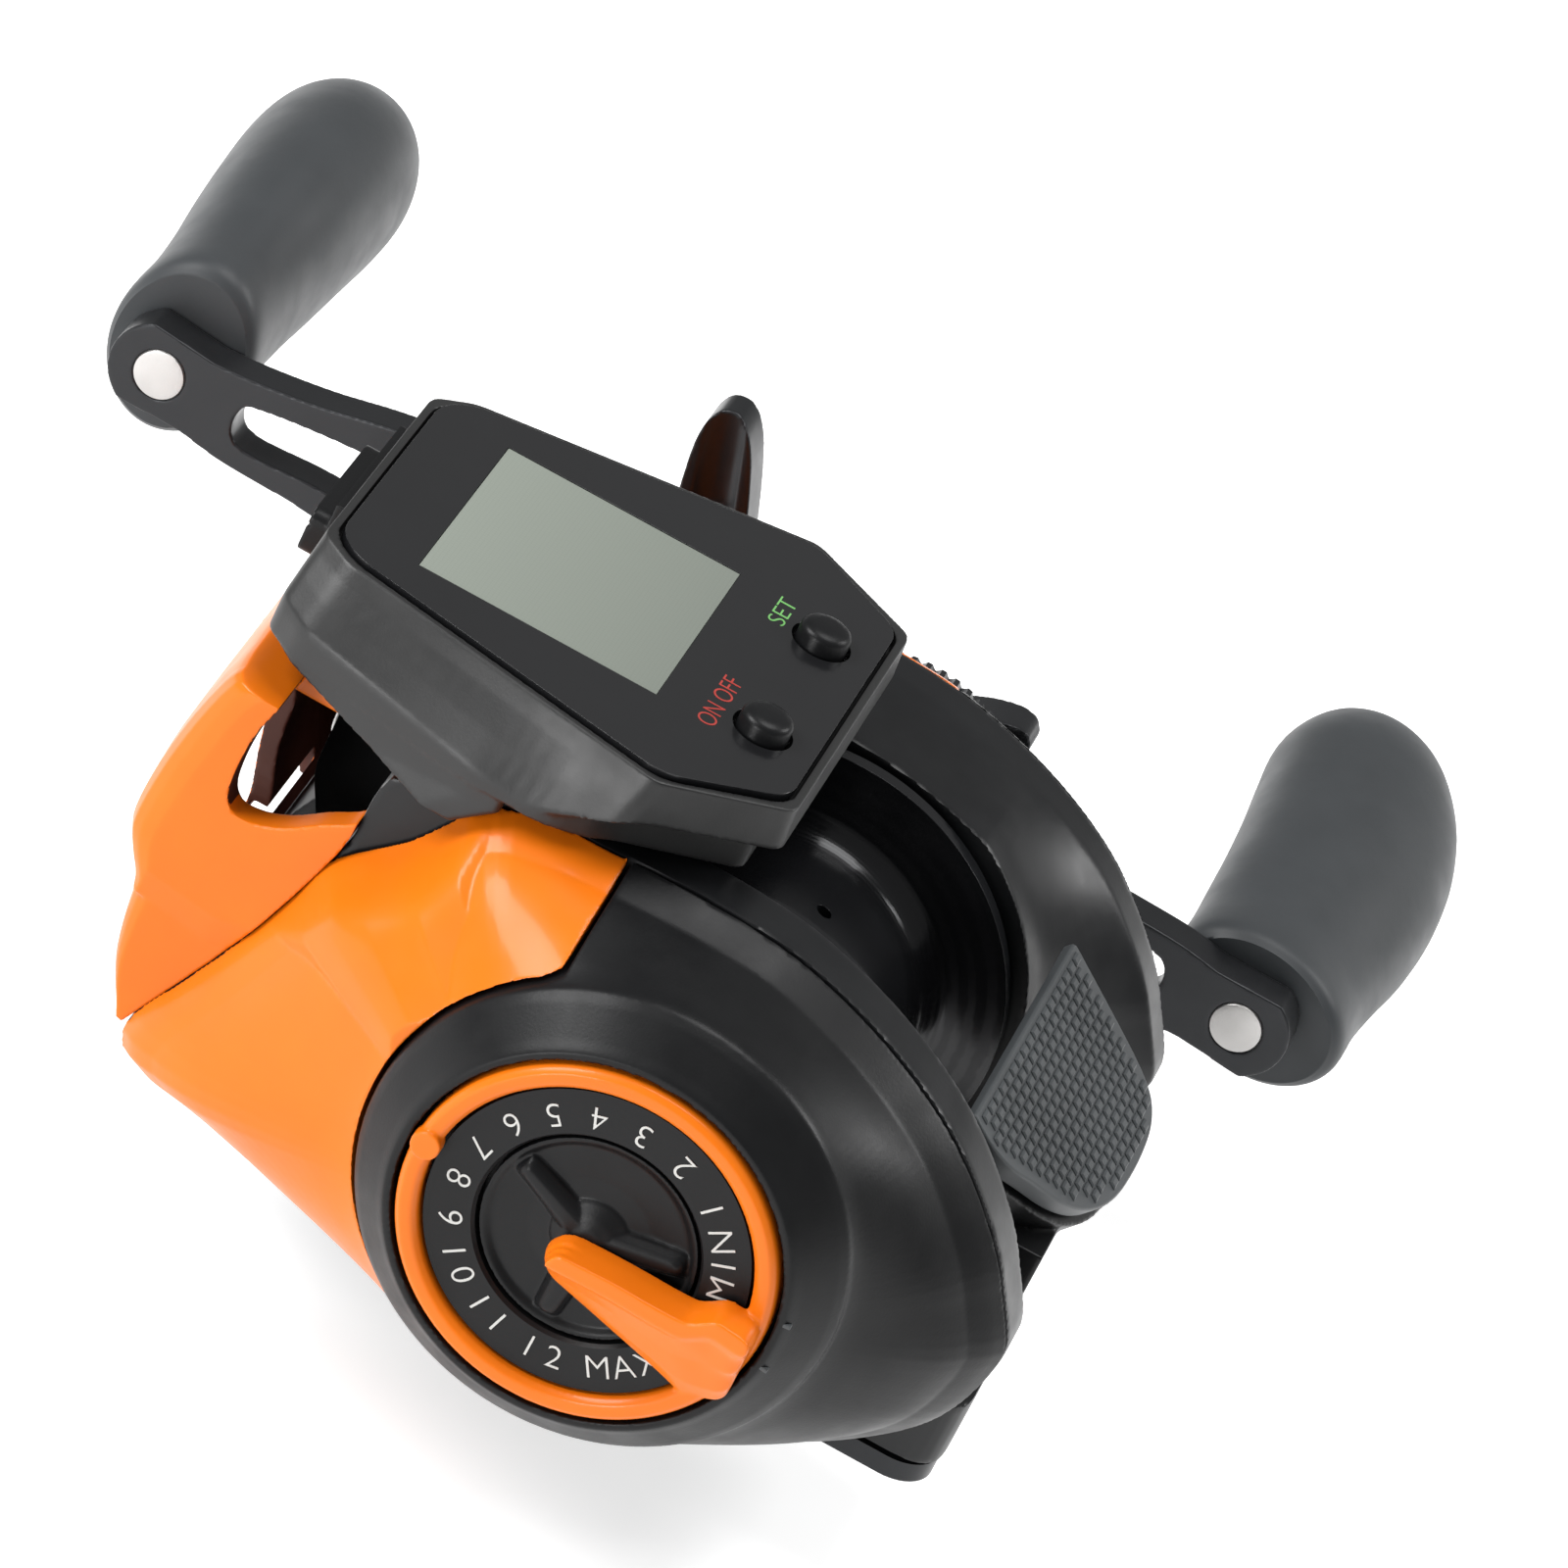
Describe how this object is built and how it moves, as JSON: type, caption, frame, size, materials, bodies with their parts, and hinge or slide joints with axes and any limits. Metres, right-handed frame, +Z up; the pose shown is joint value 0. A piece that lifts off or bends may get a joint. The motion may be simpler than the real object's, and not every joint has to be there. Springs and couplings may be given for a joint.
{
  "type": "baitcasting fishing reel",
  "caption": "Low-profile baitcasting fishing reel in orange and black, with a top display, a brake dial, a star drag and a crank handle with paddle knobs.",
  "frame": {"origin": "centre of the reel foot's underside, where the reel sits on the rod's seat", "axes": "+Z up away from the rod, +Y forward along the rod towards where the line leaves, +X towards the crank handle"},
  "size_m": [0.1206, 0.1025, 0.0566],
  "materials": {
    "orange_shell": "satin lacquer",
    "black_plastic": "satin",
    "frame_black": "satin composite",
    "black_aluminium": "black anodised",
    "panel_black": "high gloss",
    "display_glass": "grey-green liquid crystal",
    "knob_rubber": "soft matte",
    "bright_steel": "turned",
    "dark_steel": "blackened",
    "gear_brass": "machined",
    "drag_carbon": "woven carbon",
    "circuit_green": "solder resist",
    "pad_grey": "dimpled",
    "ceramic_white": "polished ceramic"
  },
  "bodies": {
    "frame": {"main_frame": "frame_black", "reel_foot": "black_aluminium", "foot_rivet_1": "dark_steel", "foot_rivet_2": "dark_steel", "palm_side_cover": "black_plastic", "palm_front_shell": "orange_shell", "nose_cover": "orange_shell", "handle_side_cover": "black_plastic", "handle_front_shell": "orange_shell", "side_screw_1": "dark_steel", "side_screw_2": "dark_steel", "side_screw_3": "dark_steel", "number_plate": "black_plastic", "brake_hub": "black_plastic", "palm_bearing": "bright_steel", "frame_bearing": "bright_steel", "end_bearing": "bright_steel", "one_way_bearing": "bright_steel", "guide_rod": "bright_steel", "display_housing": "black_plastic", "display_panel": "panel_black", "lcd_module": "display_glass", "circuit_board": "circuit_green", "display_screw_1": "dark_steel", "display_screw_2": "dark_steel"},
    "crank": {"drive_shaft": "bright_steel", "drive_gear": "gear_brass", "cross_gear": "gear_brass", "drag_washer_1": "drag_carbon", "drag_washer_2": "dark_steel", "shaft_collar": "black_aluminium", "handle_arm": "black_aluminium", "handle_nut": "black_aluminium", "nut_retainer": "black_aluminium", "knob_pin_front": "bright_steel", "knob_pin_rear": "bright_steel"},
    "star": {"star_drag": "black_aluminium"},
    "front_knob": {"knob_front": "knob_rubber"},
    "rear_knob": {"knob_rear": "knob_rubber"},
    "spool": {"spool": "black_aluminium", "spool_shaft": "bright_steel", "brake_rotor": "dark_steel", "pinion_gear": "gear_brass"},
    "worm": {"worm_shaft": "bright_steel", "worm_gear": "gear_brass"},
    "level_wind": {"line_guide": "black_plastic", "line_ring": "ceramic_white", "pawl_cap": "black_aluminium"},
    "thumb_bar": {"thumb_bar": "black_plastic", "thumb_pad": "pad_grey"},
    "clutch": {"clutch_yoke": "dark_steel"},
    "dial": {"brake_dial": "orange_shell"},
    "magnets": {"magnet_carrier": "black_plastic"},
    "cast_cap": {"cast_control_cap": "black_aluminium"},
    "set_button": {"set_button": "black_plastic"},
    "power_button": {"power_button": "black_plastic"},
    "battery": {"battery_tray": "black_plastic", "coin_cell": "bright_steel"}
  },
  "joints": [
    {"name": "handle_spin", "type": "hinge", "parent": "frame", "child": "crank", "pos_m": [0.045, 0.01115, 0.01425], "axis": [1, 0, 0], "continuous": true},
    {"name": "star_drag_turn", "type": "hinge", "parent": "crank", "child": "star", "pos_m": [0.0388, 0.01115, 0.01425], "axis": [1, 0, 0], "range_deg": [-180, 180]},
    {"name": "knob_front_spin", "type": "hinge", "parent": "crank", "child": "front_knob", "pos_m": [0.065, 0.05459, 0.01653], "axis": [1, 0, 0], "continuous": true},
    {"name": "knob_rear_spin", "type": "hinge", "parent": "crank", "child": "rear_knob", "pos_m": [0.065, -0.03229, 0.01197], "axis": [1, 0, 0], "continuous": true},
    {"name": "spool_spin", "type": "hinge", "parent": "frame", "child": "spool", "pos_m": [0, -0.003, 0.0205], "axis": [1, 0, 0], "continuous": true},
    {"name": "worm_spin", "type": "hinge", "parent": "frame", "child": "worm", "pos_m": [0, 0.0195, 0.0145], "axis": [1, 0, 0], "continuous": true},
    {"name": "level_wind_slide", "type": "slide", "parent": "frame", "child": "level_wind", "axis": [1, 0, 0], "range_m": [-0.0073, 0.0073]},
    {"name": "thumb_bar_press", "type": "slide", "parent": "frame", "child": "thumb_bar", "axis": [0, -0.4512, -0.8924], "range_m": [0, 0.0032]},
    {"name": "clutch_lift", "type": "slide", "parent": "frame", "child": "clutch", "axis": [1, 0, 0], "range_m": [0, 0.001]},
    {"name": "brake_dial_turn", "type": "hinge", "parent": "frame", "child": "dial", "pos_m": [-0.0315, -0.003, 0.0205], "axis": [1, 0, 0], "range_deg": [-310, 0]},
    {"name": "magnet_slide", "type": "slide", "parent": "frame", "child": "magnets", "axis": [1, 0, 0], "range_m": [0, 0.003]},
    {"name": "cast_cap_turn", "type": "hinge", "parent": "frame", "child": "cast_cap", "pos_m": [0.0334, -0.003, 0.0205], "axis": [1, 0, 0], "range_deg": [-180, 180]},
    {"name": "set_button_press", "type": "slide", "parent": "frame", "child": "set_button", "axis": [0, 0, -1], "range_m": [0, 0.0005], "stiffness_N_per_m": 300, "springref_m": -0.0004},
    {"name": "power_button_press", "type": "slide", "parent": "frame", "child": "power_button", "axis": [0, 0, -1], "range_m": [0, 0.0005], "stiffness_N_per_m": 300, "springref_m": -0.0004},
    {"name": "battery_tray_slide", "type": "slide", "parent": "frame", "child": "battery", "axis": [0, 1, 0], "range_m": [0, 0.014]}
  ],
  "couplings": [
    {"joint": "spool_spin", "follows": "handle_spin", "ratio": -4.1667},
    {"joint": "worm_spin", "follows": "handle_spin", "ratio": -1.25},
    {"joint": "clutch_lift", "follows": "thumb_bar_press", "ratio": 0.3125},
    {"joint": "brake_dial_turn", "follows": "magnet_slide", "rad_per_m": -1803.4}
  ]
}
